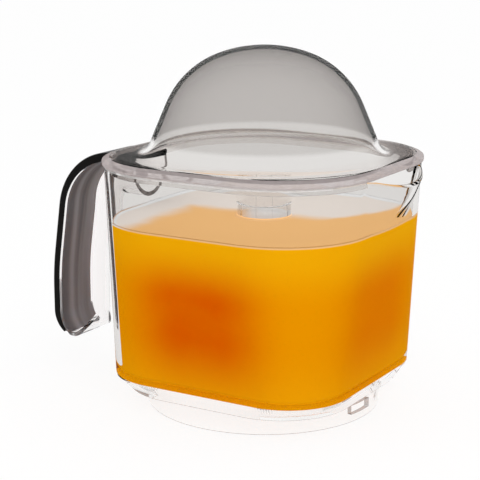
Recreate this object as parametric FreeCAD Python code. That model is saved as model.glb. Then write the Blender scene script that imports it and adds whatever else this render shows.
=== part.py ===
import FreeCAD, Part
import math
import os

from FreeCAD import Vector

# The juice jug of a citrus press under its dust cover, in millimetres.
# The origin is the centre of the base collar's lower edge and +Z is up.
# The spout points along +X and the handle stands on the -X side.

# Base collar: a round bayonet ring under a square chamfered skirt
ring_radius = 59.0
ring_wall = 2.5
ring_height = 10.2
skirt_height = 7.3
skirt_wall = 2.2
foot_ledge = 0.4
foot_corner = 37.0
window_width = 16.0
window_height = 4.6
window_lift = 3.8
window_turn = -6.0

# Jug body: a drafted, rounded square tub with walls that thin towards the rim
crease_half = 63.0
crease_corner = 32.0
rim_half = 70.9
rim_corner = 49.5
body_height = 105.0
floor_thickness = 1.6
floor_round = 2.0
wall_at_floor = 4.0
wall_at_rim = 2.2

# Spout: a slanting cone that grows out of the wall at +X
spout_reach = 12.5
spout_radius = 32.0
spout_depth = 32.0
spout_sink = 0.6
spout_blend = 20.0
lip_drop = 5.0

# Shaft column: a hollow tapered post over the hole in the floor, with its bush
column_height = 81.9
column_foot_radius = 17.6
column_top_radius = 13.2
column_wall = 2.0
bush_flange_radius = 13.9
bush_flange_height = 4.5
bush_spigot_length = 9.0
bush_clearance = 0.1
shaft_bore_radius = 4.1

# Handle: a clear U channel with its round side to the fingers, closed by a dark grip
handle_width = 30.0
handle_flat = 4.0
handle_wall = 2.2
handle_drop = 1.5
handle_reach = 52.4
handle_length = 103.5
handle_shoulder_radius = 35.0
handle_back_radius = 150.0
handle_lean = 8.3
handle_bend_drop = 67.0
handle_heel_radius = 12.0
handle_toe_radius = 17.0
handle_cheek_radius = 3.0
grip_thickness = 4.5
grip_edge_radius = 1.4

# Dust cover: a dome on a flange that rests on the rim, located by a rib inside it
cover_overhang = 1.0
cover_edge_height = 2.6
cover_border_width = 4.0
cover_border_rise = 1.3
cover_wall = 2.2
dome_height = 53.0
cap_radius = 66.0
cap_angle = 20.0
shoulder_radius = 45.0
flank_angle = 23.0
dome_foot_radius = 9.0
rib_depth = 3.5
rib_wall = 1.6
rib_clearance = 0.4
rib_gap_width = 44.0

# Juice: what the jug holds in use
juice_depth = 75.4

# Sizes and heights that follow from those above
foot_half = ring_radius + foot_ledge
crease_z = ring_height + skirt_height
floor_z = crease_z + floor_thickness
rim_z = crease_z + body_height
spout_root_z = rim_z - spout_depth
column_top_z = floor_z + column_height
handle_top_z = rim_z - handle_drop
handle_bottom_z = handle_top_z - handle_length
flange_z = rim_z + cover_edge_height + cover_border_rise
juice_z = floor_z + juice_depth
overlap = 1.0
seam_tolerance = 0.01


def rounded_square(half, corner, z):
    """A level rounded square about the Z axis, as a wire of four lines and four arcs."""
    edges = []
    flat = half - corner
    bulge = flat + corner * math.sqrt(0.5)
    for quarter in range(4):
        turn = FreeCAD.Rotation(Vector(0, 0, 1), 90 * quarter)
        side_start = turn.multVec(Vector(half, -flat, z))
        side_end = turn.multVec(Vector(half, flat, z))
        arc_middle = turn.multVec(Vector(bulge, bulge, z))
        arc_end = turn.multVec(Vector(flat, half, z))
        edges.append(Part.LineSegment(side_start, side_end).toShape())
        edges.append(Part.Arc(side_end, arc_middle, arc_end).toShape())
    return Part.Wire(edges)


def ruled_solid(*wires):
    """A solid with straight rulings from each level wire to the next."""
    return Part.makeLoft(list(wires), True, True)


def cylinder(radius, z_low, z_high):
    return Part.makeCylinder(radius, z_high - z_low, Vector(0, 0, z_low))


def cone(radius_low, radius_high, z_low, z_high):
    return Part.makeCone(radius_low, radius_high, z_high - z_low, Vector(0, 0, z_low))


def box(x_low, x_high, y_low, y_high, z_low, z_high):
    corner = Vector(x_low, y_low, z_low)
    return Part.makeBox(x_high - x_low, y_high - y_low, z_high - z_low, corner)


def polygon_prism(points_xz, half_width):
    """A prism along Y with the given corners in the XZ plane."""
    corners = [Vector(x, -half_width, z) for x, z in points_xz]
    face = Part.Face(Part.makePolygon(corners + corners[:1]))
    return face.extrude(Vector(0, 2 * half_width, 0))


def turn_point(corner, before, after, radius):
    """The start, middle and end of an arc that rounds a corner between two straight runs."""
    back = (before - corner).normalize()
    ahead = (after - corner).normalize()
    half_angle = back.getAngle(ahead) / 2
    reach = radius / math.tan(half_angle)
    bisector = (back + ahead).normalize()
    centre = corner + bisector * (radius / math.sin(half_angle))
    return corner + back * reach, centre - bisector * radius, corner + ahead * reach


def rounded_path(corners, radii):
    """Straight runs through the corners, joined by tangent arcs of the given radii."""
    edges = []
    last = corners[0]
    for number, radius in enumerate(radii):
        before, corner, after = corners[number:number + 3]
        start, middle, end = turn_point(corner, before, after, radius)
        edges.append(Part.LineSegment(last, start).toShape())
        edges.append(Part.Arc(start, middle, end).toShape())
        last = end
    edges.append(Part.LineSegment(last, corners[-1]).toShape())
    return Part.Wire(edges)


def sweep(path, section):
    return path.makePipeShell([section], True, False)


def edge_cutter(point, along, inward_a, inward_b, radius, length):
    """What a round of the given radius takes off a long square edge through the point."""
    a = inward_a * radius
    b = inward_b * radius
    run = along * length
    start = point - run / 2
    square = Part.makePolygon([start, start + a, start + a + b, start + b, start])
    bar = Part.Face(square).extrude(run)
    return bar.cut(Part.makeCylinder(radius, length, start + a + b, along))


def size_at(low, high, z_low, z_high, z):
    return low + (high - low) * (z - z_low) / (z_high - z_low)


def make_jug_outside():
    """The outer form of the tub with its spout, from the crease to the rim."""
    tub = ruled_solid(
        rounded_square(crease_half, crease_corner, crease_z),
        rounded_square(rim_half, rim_corner, rim_z),
    )
    wall_half = size_at(crease_half, rim_half, crease_z, rim_z, spout_root_z)
    return add_spout(tub, wall_half, 0)


def make_cavity():
    """The space inside the tub and its spout, rounded where wall and floor meet."""
    round_z = floor_z + floor_round
    low_half = size_at(crease_half, rim_half, crease_z, rim_z, round_z) - wall_at_floor
    low_corner = crease_corner - wall_at_floor
    tub = ruled_solid(
        rounded_square(low_half - floor_round, low_corner - floor_round, floor_z),
        rounded_square(low_half, low_corner, round_z),
        rounded_square(rim_half - wall_at_rim, rim_corner - wall_at_rim, rim_z),
    )
    wall_half = size_at(low_half, rim_half - wall_at_rim, round_z, rim_z, spout_root_z)
    return add_spout(tub, wall_half, wall_at_rim)


def add_spout(tub, wall_half, inset):
    """Joins the slanting cone of the spout to a tub, with a soft blend along the seam."""
    centre_x = rim_half + spout_reach - spout_radius
    root = Vector(centre_x, 0, spout_root_z)
    root_radius = wall_half - spout_sink - centre_x
    rim_radius = spout_radius - inset
    joined = tub.fuse(Part.makeCone(root_radius, rim_radius, spout_depth, root)).removeSplitter()

    def on_cone(point):
        radius = size_at(root_radius, rim_radius, root.z, rim_z, point.z)
        return abs(math.hypot(point.x - centre_x, point.y) - radius) < seam_tolerance

    def is_seam(edge):
        points = edge.discretize(3)
        rise = max(point.z for point in points) - min(point.z for point in points)
        return rise > seam_tolerance and all(on_cone(point) for point in points)

    def between_faces(edge):
        return len(joined.ancestorsOfType(edge, Part.Face)) == 2

    seams = [edge for edge in joined.Edges if between_faces(edge) and is_seam(edge)]
    return joined.makeFillet(spout_blend + inset, seams)


def make_jug_body(outside, cavity):
    body = outside.cut(cavity)
    hole_radius = column_foot_radius - column_wall
    body = body.cut(cylinder(hole_radius, crease_z - overlap, floor_z + overlap))
    lip_end_x = rim_half + spout_reach
    lip = polygon_prism(
        [
            (rim_half, rim_z),
            (lip_end_x, rim_z - lip_drop),
            (lip_end_x + overlap, rim_z - lip_drop),
            (lip_end_x + overlap, rim_z + overlap),
            (rim_half, rim_z + overlap),
        ],
        spout_radius,
    )
    return body.cut(lip)


def make_base_collar():
    """The bayonet ring and the square skirt above it, which is welded under the floor."""
    shelf_z = ring_height + skirt_wall
    outside = ruled_solid(
        rounded_square(foot_half, foot_corner, ring_height),
        rounded_square(crease_half, crease_corner, crease_z),
    )
    inside = ruled_solid(
        rounded_square(foot_half - skirt_wall, foot_corner - skirt_wall, shelf_z),
        rounded_square(crease_half - skirt_wall, crease_corner - skirt_wall, crease_z),
    )
    bore = cylinder(ring_radius - ring_wall, 0, crease_z)
    collar = outside.fuse(cylinder(ring_radius, 0, shelf_z)).cut(inside).cut(bore)
    windows = box(
        -ring_radius - overlap, ring_radius + overlap, -window_width / 2, window_width / 2,
        window_lift, window_lift + window_height,
    )
    windows.rotate(Vector(0, 0, 0), Vector(0, 0, 1), window_turn)
    return collar.cut(windows)


def make_column_outside():
    return cone(column_foot_radius, column_top_radius, floor_z, column_top_z)


def make_shaft_column():
    bore = cone(column_foot_radius - column_wall, column_top_radius - column_wall, floor_z, column_top_z)
    return make_column_outside().cut(bore)


def make_bush_flange():
    return cylinder(bush_flange_radius, column_top_z, column_top_z + bush_flange_height)


def make_column_bush():
    """The bush that the drive shaft turns in: a flange on the column and a spigot inside it."""
    spigot_radius = column_top_radius - column_wall - bush_clearance
    spigot = cylinder(spigot_radius, column_top_z - bush_spigot_length, column_top_z)
    shaft = cylinder(
        shaft_bore_radius, column_top_z - bush_spigot_length, column_top_z + bush_flange_height
    )
    return make_bush_flange().fuse(spigot).cut(shaft).removeSplitter()


def make_handle_path(end_z):
    """The seat between grip and channel: out from the rim, round the shoulder and down."""
    back_x = -rim_half - handle_reach + grip_thickness
    seat_z = handle_top_z - grip_thickness
    bend_z = handle_top_z - handle_bend_drop
    shoulder_x = back_x + (seat_z - bend_z) * math.tan(math.radians(handle_lean))
    corners = [
        Vector(-crease_half, 0, seat_z),
        Vector(shoulder_x, 0, seat_z),
        Vector(back_x, 0, bend_z),
        Vector(back_x, 0, end_z),
    ]
    radii = [handle_shoulder_radius - grip_thickness, handle_back_radius - grip_thickness]
    return rounded_path(corners, radii)


def channel_section(half_width):
    """A U with a half-round bottom, open at the seat, at the inner end of the handle."""
    x = -crease_half
    top_z = handle_top_z - grip_thickness
    round_z = top_z - handle_flat
    left_top = Vector(x, -half_width, top_z)
    left = Vector(x, -half_width, round_z)
    bottom = Vector(x, 0, round_z - half_width)
    right = Vector(x, half_width, round_z)
    right_top = Vector(x, half_width, top_z)
    return Part.Wire([
        Part.LineSegment(left_top, left).toShape(),
        Part.Arc(left, bottom, right).toShape(),
        Part.LineSegment(right, right_top).toShape(),
        Part.LineSegment(right_top, left_top).toShape(),
    ])


def grip_section():
    """A flat strip on the seat with its two outer edges rounded."""
    x = -crease_half
    half_width = handle_width / 2
    low_z = handle_top_z - grip_thickness
    radius = grip_edge_radius
    soft = radius * (1 - math.sqrt(0.5))
    corners = [
        Vector(x, -half_width, low_z),
        Vector(x, half_width, low_z),
        Vector(x, half_width, handle_top_z - radius),
        Vector(x, half_width - radius, handle_top_z),
        Vector(x, radius - half_width, handle_top_z),
        Vector(x, -half_width, handle_top_z - radius),
    ]
    right = Vector(x, half_width - soft, handle_top_z - soft)
    left = Vector(x, soft - half_width, handle_top_z - soft)
    return Part.Wire([
        Part.LineSegment(corners[0], corners[1]).toShape(),
        Part.LineSegment(corners[1], corners[2]).toShape(),
        Part.Arc(corners[2], right, corners[3]).toShape(),
        Part.LineSegment(corners[3], corners[4]).toShape(),
        Part.Arc(corners[4], left, corners[5]).toShape(),
        Part.LineSegment(corners[5], corners[0]).toShape(),
    ])


def round_handle_end(shape, inset):
    """Rounds the free lower end of the handle, or of a space that far inside its surface."""
    half_width = handle_width / 2 - inset
    heel_x = -rim_half - handle_reach + inset
    toe_x = heel_x + grip_thickness + handle_flat + half_width - inset
    end_z = handle_bottom_z + inset
    up = Vector(0, 0, 1)
    outward = Vector(-1, 0, 0)
    across = Vector(0, 1, 0)
    heel = Vector(heel_x, 0, end_z)
    toe = Vector(toe_x, 0, end_z)
    span = 2 * handle_width
    shape = shape.cut(edge_cutter(heel, across, -outward, up, handle_heel_radius - inset, span))
    shape = shape.cut(edge_cutter(toe, across, outward, up, handle_toe_radius - inset, span))
    cheek_radius = handle_cheek_radius - inset
    for side in (-1, 1):
        cheek = Vector(heel_x, side * half_width, end_z)
        shape = shape.cut(edge_cutter(cheek, -outward, across * -side, up, cheek_radius, 2 * span))
    return shape


def make_handle_channel(outside):
    half_width = handle_width / 2
    channel = sweep(make_handle_path(handle_bottom_z), channel_section(half_width))
    pocket_path = make_handle_path(handle_bottom_z + handle_wall)
    pocket = sweep(pocket_path, channel_section(half_width - handle_wall))
    hollow = round_handle_end(channel, 0).cut(round_handle_end(pocket, handle_wall))
    return hollow.cut(outside)


def make_handle_grip(outside):
    grip = sweep(make_handle_path(handle_bottom_z), grip_section())
    return round_handle_end(grip, 0).cut(outside)


def make_dome(inset):
    """The dome down to its spread foot, drawn in by the inset, as a solid of revolution."""
    apex_z = flange_z + dome_height
    cap = math.radians(cap_angle)
    end = math.radians(90 - flank_angle)
    cap_z = apex_z - cap_radius
    shoulder_x = (cap_radius - shoulder_radius) * math.sin(cap)
    shoulder_z = cap_z + (cap_radius - shoulder_radius) * math.cos(cap)

    def on_arc(centre_x, centre_z, radius, angle):
        return Vector(centre_x + radius * math.sin(angle), 0, centre_z + radius * math.cos(angle))

    low_z = flange_z - inset
    cap_size = cap_radius - inset
    shoulder_size = shoulder_radius - inset
    shoulder_middle = on_arc(shoulder_x, shoulder_z, shoulder_size, (cap + end) / 2)
    foot_round = dome_foot_radius + inset
    flank_top = on_arc(shoulder_x, shoulder_z, shoulder_size, end)
    spread = (flank_top.z - low_z) * math.tan(math.radians(flank_angle))
    foot = Vector(flank_top.x + spread, 0, low_z)
    outward = foot + Vector(foot_round, 0, 0)
    foot_start, foot_middle, foot_end = turn_point(foot, flank_top, outward, foot_round)
    apex = on_arc(0, cap_z, cap_size, 0)
    cap_end = on_arc(0, cap_z, cap_size, cap)
    base_z = rim_z - overlap
    profile = Part.Wire([
        Part.Arc(apex, on_arc(0, cap_z, cap_size, cap / 2), cap_end).toShape(),
        Part.Arc(cap_end, shoulder_middle, flank_top).toShape(),
        Part.LineSegment(flank_top, foot_start).toShape(),
        Part.Arc(foot_start, foot_middle, foot_end).toShape(),
        Part.LineSegment(foot_end, Vector(foot_end.x, 0, base_z)).toShape(),
        Part.LineSegment(Vector(foot_end.x, 0, base_z), Vector(0, 0, base_z)).toShape(),
        Part.LineSegment(Vector(0, 0, base_z), apex).toShape(),
    ])
    return Part.Face(profile).revolve(Vector(0, 0, 0), Vector(0, 0, 1), 360)


def make_dust_cover():
    edge_half = rim_half + cover_overhang
    edge_corner = rim_corner + cover_overhang
    top_half = edge_half - cover_border_width
    top_corner = edge_corner - cover_border_width
    flange = ruled_solid(
        rounded_square(edge_half, edge_corner, rim_z),
        rounded_square(edge_half, edge_corner, rim_z + cover_edge_height),
        rounded_square(top_half, top_corner, flange_z),
    )
    below = box(-edge_half, edge_half, -edge_half, edge_half, rim_z - 2 * overlap, rim_z)
    outside = flange.fuse(make_dome(0).cut(below))
    rib_out = wall_at_rim + rib_clearance
    rib_in = rib_out + rib_wall
    rib_z = rim_z - rib_depth
    rib_low_half = size_at(crease_half, rim_half, crease_z, rim_z, rib_z) - rib_out
    rib = ruled_solid(
        rounded_square(rib_low_half, rim_corner - rib_out, rib_z),
        rounded_square(rim_half - rib_out, rim_corner - rib_out, rim_z),
    )
    gap = box(0, edge_half, -rib_gap_width / 2, rib_gap_width / 2, rib_z - overlap, rim_z)
    inside = ruled_solid(
        rounded_square(rim_half - rib_in, rim_corner - rib_in, rib_z),
        rounded_square(rim_half - rib_in, rim_corner - rib_in, flange_z - cover_wall),
    )
    return outside.fuse(rib.cut(gap)).cut(inside).cut(make_dome(cover_wall)).removeSplitter()


def make_juice(cavity):
    level = box(-rim_half, rim_half, -rim_half, rim_half, floor_z, juice_z)
    post = make_column_outside().fuse(make_bush_flange())
    return cavity.common(level).cut(post)


jug_outside = make_jug_outside()
jug_cavity = make_cavity()
pieces = {
    "jug_body": make_jug_body(jug_outside, jug_cavity),
    "base_collar": make_base_collar(),
    "shaft_column": make_shaft_column(),
    "column_bush": make_column_bush(),
    "handle_channel": make_handle_channel(jug_outside),
    "handle_grip": make_handle_grip(jug_outside),
    "dust_cover": make_dust_cover(),
    "juice": make_juice(jug_cavity),
}

os.makedirs("parts", exist_ok=True)
for name, shape in pieces.items():
    bounds = shape.BoundBox
    print(
        f"{name}: valid {shape.isValid()}, solids {len(shape.Solids)}, volume {shape.Volume:.0f},"
        f" x {bounds.XMin:.1f} {bounds.XMax:.1f}, y {bounds.YMin:.1f} {bounds.YMax:.1f},"
        f" z {bounds.ZMin:.1f} {bounds.ZMax:.1f}"
    )
    shape.exportStep(f"parts/{name}.step")
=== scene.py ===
import math

import bmesh
import bpy
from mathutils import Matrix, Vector


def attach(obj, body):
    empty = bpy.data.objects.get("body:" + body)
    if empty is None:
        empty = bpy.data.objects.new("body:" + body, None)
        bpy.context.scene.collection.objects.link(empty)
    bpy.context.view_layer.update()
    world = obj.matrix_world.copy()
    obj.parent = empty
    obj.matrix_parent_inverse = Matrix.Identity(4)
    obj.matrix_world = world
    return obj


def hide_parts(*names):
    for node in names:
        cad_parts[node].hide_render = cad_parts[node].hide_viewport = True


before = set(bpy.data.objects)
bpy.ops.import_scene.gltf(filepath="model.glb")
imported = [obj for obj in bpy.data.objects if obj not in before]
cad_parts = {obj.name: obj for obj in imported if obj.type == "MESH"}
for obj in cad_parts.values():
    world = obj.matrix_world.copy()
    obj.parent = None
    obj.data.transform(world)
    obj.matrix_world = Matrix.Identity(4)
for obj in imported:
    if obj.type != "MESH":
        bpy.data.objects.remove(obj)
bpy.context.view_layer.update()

# Jug body: a drafted tub on a rounded-square plan, moulded in clear, faintly grey plastic.
# Its walls thin towards a rounded rim, a pouring spout grows out of the wall at +X,
# and the floor has a hole in the middle under the hollow column.
MM = 0.001
POINTS_ROUND = 320
WELD_GAP = 0.05
CREASE_Z = 17.5
RIM_Z = 122.5
FLOOR_Z = 19.1
FLOOR_ROUND = 2.0
CREASE_HALF, CREASE_CORNER = 63.0, 32.0
RIM_HALF, RIM_CORNER = 70.9, 49.5
LOW_HALF, LOW_CORNER = 59.27, 28.0
WALL_AT_RIM = 2.2
RIM_BEAD = 1.0
CREASE_ROUND = 0.5
FLOOR_HOLE_RADIUS, FLOOR_FLAT_RADIUS = 15.6, 50.0
UNDERSIDE_RADIUS = 57.0
FLAT_ROWS, CREASE_ROWS, WALL_ROWS, BEAD_ROWS, FLOOR_ROUND_ROWS = 5, 4, 40, 8, 6
SPOUT_CENTRE_X = 51.4
SPOUT_ROOT_Z, SPOUT_ROOT_RADIUS = 90.5, 16.5
SPOUT_SLOPE = 15.5 / 32.0
SPOUT_REACH = 12.5
SPOUT_BLEND = 16.0
SPOUT_FADE_LOW_Z, SPOUT_FADE_HIGH_Z = 90.0, 112.0
LIP_DROP = 5.0


def mix(low, high, share):
    return low + (high - low) * share


def steps(count):
    return [number / count for number in range(count + 1)]


def angles():
    return [2 * math.pi * number / POINTS_ROUND for number in range(POINTS_ROUND)]


def square_radius(half, corner, angle):
    """How far from the middle a rounded square lies in the direction of the angle."""
    long_part = max(abs(math.cos(angle)), abs(math.sin(angle)))
    short_part = min(abs(math.cos(angle)), abs(math.sin(angle)))
    flat = half - corner
    if half * short_part <= flat * long_part:
        return half / long_part
    along = flat * (long_part + short_part)
    return along + math.sqrt(along * along - 2 * flat * flat + corner * corner)


def square_ring(half, corner, z):
    ring = []
    for angle in angles():
        radius = square_radius(half, corner, angle)
        ring.append((radius * math.cos(angle), radius * math.sin(angle), z))
    return ring


def round_ring(radius, z):
    return square_ring(radius, radius, z)


def spout_pushed(x, y, z, inset):
    """Moves a point of the wall out to the spout's cone, with a soft blend along the seam."""
    radius = SPOUT_ROOT_RADIUS + (z - SPOUT_ROOT_Z) * SPOUT_SLOPE - inset
    if x < 0 or abs(y) >= radius:
        return x
    cone_x = SPOUT_CENTRE_X + math.sqrt(radius * radius - y * y)
    near = max(0.0, 1 - abs(cone_x - x) / SPOUT_BLEND)
    push = max(0.0, cone_x - x) + near * near * SPOUT_BLEND / 4
    share = min(max((z - SPOUT_FADE_LOW_Z) / (SPOUT_FADE_HIGH_Z - SPOUT_FADE_LOW_Z), 0.0), 1.0)
    return x + push * share * share * (3 - 2 * share)


def outer_wall_point(angle, z):
    share = (z - CREASE_Z) / (RIM_Z - CREASE_Z)
    half = mix(CREASE_HALF, RIM_HALF, share)
    radius = square_radius(half, mix(CREASE_CORNER, RIM_CORNER, share), angle)
    x, y = radius * math.cos(angle), radius * math.sin(angle)
    return spout_pushed(x, y, z, 0), y, z


def inner_wall_point(angle, z, inset=0.0):
    low_z = FLOOR_Z + FLOOR_ROUND
    share = (z - low_z) / (RIM_Z - low_z)
    half = mix(LOW_HALF, RIM_HALF - WALL_AT_RIM, share)
    corner = mix(LOW_CORNER, RIM_CORNER - WALL_AT_RIM, share)
    radius = square_radius(half - inset, corner - inset, angle)
    x, y = radius * math.cos(angle), radius * math.sin(angle)
    return spout_pushed(x, y, z, WALL_AT_RIM + inset), y, z


def lip_z(x):
    drop = LIP_DROP * min(max((x - RIM_HALF) / SPOUT_REACH, 0), 1)
    return RIM_Z - WELD_GAP - drop


def bead_foot_z(wall_point, angle):
    """The height where the rounded rim starts on a wall, which is lower along the spout's lip."""
    return lip_z(wall_point(angle, RIM_Z - LIP_DROP)[0]) - RIM_BEAD


def loft(name, rings, closed=False):
    """A mesh through rings of points: closed as a tube round an opening, or shut by a point at each end."""
    count = len(rings[0])
    points = [point for ring in rings for point in ring]
    faces = []
    last = len(rings) if closed else len(rings) - 1
    for row in range(last):
        below = row * count
        above = (row + 1) % len(rings) * count
        for place in range(count):
            beside = (place + 1) % count
            faces.append((below + place, below + beside, above + beside, above + place))
    if not closed:
        for ring, start in ((rings[0], 0), (rings[-1], (len(rings) - 1) * count)):
            middle = len(points)
            points.append(tuple(sum(axis) / count for axis in zip(*ring)))
            for place in range(count):
                faces.append((start + place, start + (place + 1) % count, middle))
    return mesh_object(name, points, faces)


def mesh_object(name, points, faces):
    mesh = bpy.data.meshes.new(name)
    mesh.from_pydata([(x * MM, y * MM, z * MM) for x, y, z in points], [], faces)
    mesh.validate()
    outward = bmesh.new()
    outward.from_mesh(mesh)
    bmesh.ops.recalc_face_normals(outward, faces=outward.faces)
    outward.to_mesh(mesh)
    outward.free()
    mesh.polygons.foreach_set("use_smooth", [True] * len(mesh.polygons))
    piece = bpy.data.objects.new(name, mesh)
    bpy.context.scene.collection.objects.link(piece)
    return piece


def even_shading(piece):
    """Gives large flat faces their own direction, so that only the small rounds between them curve."""
    facing = piece.modifiers.new("even_shading", "WEIGHTED_NORMAL")
    facing.weight = 60


def jug_body_rings():
    rings = []
    under_z = CREASE_Z + WELD_GAP
    for share in steps(FLAT_ROWS):
        rings.append(round_ring(mix(FLOOR_HOLE_RADIUS, UNDERSIDE_RADIUS, share), under_z))
    for share in steps(CREASE_ROWS):
        turn = share * math.pi / 2
        half = CREASE_HALF - CREASE_ROUND * (1 - math.sin(turn))
        rings.append(square_ring(half, CREASE_CORNER, under_z + CREASE_ROUND * (1 - math.cos(turn))))
    low_z = under_z + CREASE_ROUND
    for share in steps(WALL_ROWS)[1:]:
        ring = []
        for angle in angles():
            top_z = bead_foot_z(outer_wall_point, angle)
            ring.append(outer_wall_point(angle, mix(low_z, top_z, share)))
        rings.append(ring)
    for share in steps(BEAD_ROWS)[1:-1]:
        turn = share * math.pi
        across = (1 - math.cos(turn)) / 2
        ring = []
        for angle in angles():
            outer = Vector(outer_wall_point(angle, bead_foot_z(outer_wall_point, angle)))
            inner = Vector(inner_wall_point(angle, bead_foot_z(inner_wall_point, angle)))
            point = outer.lerp(inner, across)
            ring.append((point.x, point.y, point.z + RIM_BEAD * math.sin(turn)))
        rings.append(ring)
    round_z = FLOOR_Z + FLOOR_ROUND
    for share in steps(WALL_ROWS)[:-1]:
        ring = []
        for angle in angles():
            top_z = bead_foot_z(inner_wall_point, angle)
            ring.append(inner_wall_point(angle, mix(top_z, round_z, share)))
        rings.append(ring)
    for share in steps(FLOOR_ROUND_ROWS):
        turn = share * math.pi / 2
        draw_in = FLOOR_ROUND * (1 - math.cos(turn))
        z = round_z - FLOOR_ROUND * math.sin(turn)
        rings.append(square_ring(LOW_HALF - draw_in, LOW_CORNER - draw_in, z))
    for share in steps(FLAT_ROWS):
        rings.append(round_ring(mix(FLOOR_FLAT_RADIUS, FLOOR_HOLE_RADIUS, share), FLOOR_Z))
    return rings


def new_material(name):
    """A material with its nodes, its links and its main shader at hand."""
    material = bpy.data.materials.new(name)
    material.use_nodes = True
    nodes, links = material.node_tree.nodes, material.node_tree.links
    return material, nodes, links, nodes["Principled BSDF"]


def speckle(nodes, links, scale, detail=2.0):
    """A share from 0 to 1 that wanders over the piece like fine noise."""
    place = nodes.new("ShaderNodeTexCoord")
    noise = nodes.new("ShaderNodeTexNoise")
    noise.inputs["Scale"].default_value = scale
    noise.inputs["Detail"].default_value = detail
    links.new(place.outputs["Object"], noise.inputs["Vector"])
    return noise.outputs["Fac"]


def shade_maths(nodes, links):
    """Sums, soft steps and colour blends for building up a material."""
    def number(operation, first, second=None):
        node = nodes.new("ShaderNodeMath")
        node.operation = operation
        for slot, value in ((0, first), (1, second)):
            if value is None:
                continue
            if isinstance(value, (int, float)):
                node.inputs[slot].default_value = value
            else:
                links.new(value, node.inputs[slot])
        return node.outputs["Value"]

    def ranged(value, low, high):
        node = nodes.new("ShaderNodeMapRange")
        node.interpolation_type = "SMOOTHSTEP"
        node.inputs["From Min"].default_value = low
        node.inputs["From Max"].default_value = high
        links.new(value, node.inputs["Value"])
        return node.outputs["Result"]

    def blended(share, first, second):
        node = nodes.new("ShaderNodeMix")
        node.data_type = "RGBA"
        links.new(share, node.inputs["Factor"])
        for slot, value in (("A", first), ("B", second)):
            if isinstance(value, tuple):
                node.inputs[slot].default_value = value
            else:
                links.new(value, node.inputs[slot])
        return node.outputs["Result"]

    return number, ranged, blended


def clear_plastic(name, film, bend, gloss, edge_light, roughness, waviness, tint=None, density=0.0):
    """Clear moulded plastic: it bends light and has a faint moulded waviness.

    The film is the colour left of white light by one wall, and the tint and density darken long paths.
    The gloss is how much of a full mirror its polish shows when looked at squarely, and the edge light
    how much is left of what its edges and rims mirror inside. Soft light falls straight through it.
    """
    material, nodes, links, shell = new_material(name)
    number, _, _ = shade_maths(nodes, links)
    shell.inputs["Base Color"].default_value = (*film, 1.0)
    shell.inputs["Transmission Weight"].default_value = 1.0
    shell.inputs["IOR"].default_value = bend
    through = nodes.new("ShaderNodeBsdfRefraction")
    through.inputs["Color"].default_value = (*(math.sqrt(part) for part in film), 1.0)
    through.inputs["IOR"].default_value = bend
    ripple = speckle(nodes, links, 55.0)
    polish = nodes.new("ShaderNodeMapRange")
    polish.inputs["To Min"].default_value = roughness * 0.5
    polish.inputs["To Max"].default_value = roughness * 1.5
    links.new(ripple, polish.inputs["Value"])
    relief = nodes.new("ShaderNodeBump")
    relief.inputs["Strength"].default_value = waviness
    relief.inputs["Distance"].default_value = 0.0004
    links.new(ripple, relief.inputs["Height"])
    for side in (shell, through):
        links.new(polish.outputs["Result"], side.inputs["Roughness"])
        links.new(relief.outputs["Normal"], side.inputs["Normal"])
    mirror = nodes.new("ShaderNodeFresnel")
    mirror.inputs["IOR"].default_value = bend
    links.new(relief.outputs["Normal"], mirror.inputs["Normal"])
    dulled = nodes.new("ShaderNodeMapRange")
    dulled.name = "Edge Share"
    dulled.inputs["From Min"].default_value = 0.3
    dulled.inputs["To Min"].default_value = 1 - gloss
    dulled.inputs["To Max"].default_value = 1 - edge_light
    links.new(mirror.outputs["Fac"], dulled.inputs["Value"])
    surface = nodes.new("ShaderNodeMixShader")
    links.new(dulled.outputs["Result"], surface.inputs["Fac"])
    links.new(shell.outputs["BSDF"], surface.inputs[1])
    links.new(through.outputs["BSDF"], surface.inputs[2])
    path = nodes.new("ShaderNodeLightPath")
    soft_light = number("MAXIMUM", path.outputs["Is Shadow Ray"], path.outputs["Is Diffuse Ray"])
    open_way = nodes.new("ShaderNodeBsdfTransparent")
    lit = nodes.new("ShaderNodeMixShader")
    links.new(soft_light, lit.inputs["Fac"])
    links.new(surface.outputs["Shader"], lit.inputs[1])
    links.new(open_way.outputs["BSDF"], lit.inputs[2])
    links.new(lit.outputs["Shader"], nodes["Material Output"].inputs["Surface"])
    if density:
        inside = nodes.new("ShaderNodeVolumeAbsorption")
        inside.inputs["Color"].default_value = (*tint, 1.0)
        inside.inputs["Density"].default_value = density
        links.new(inside.outputs["Volume"], nodes["Material Output"].inputs["Volume"])
    return material


def matt_plastic(name, dark, light, clearness):
    """Dull, partly clear plastic on rims, trimmed edges and weld faces: its soft grey with a fine mottle is
    partly the edge's own dullness and partly painted shade for the dark lines these edges show.
    """
    material, nodes, links, shell = new_material(name)
    _, _, blended = shade_maths(nodes, links)
    shell.inputs["Roughness"].default_value = 0.5
    shell.inputs["Specular IOR Level"].default_value = 0.1
    shell.inputs["Alpha"].default_value = 1 - clearness
    mottled = blended(speckle(nodes, links, 400.0), (*dark, 1.0), (*light, 1.0))
    links.new(mottled, shell.inputs["Base Color"])
    return material


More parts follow.
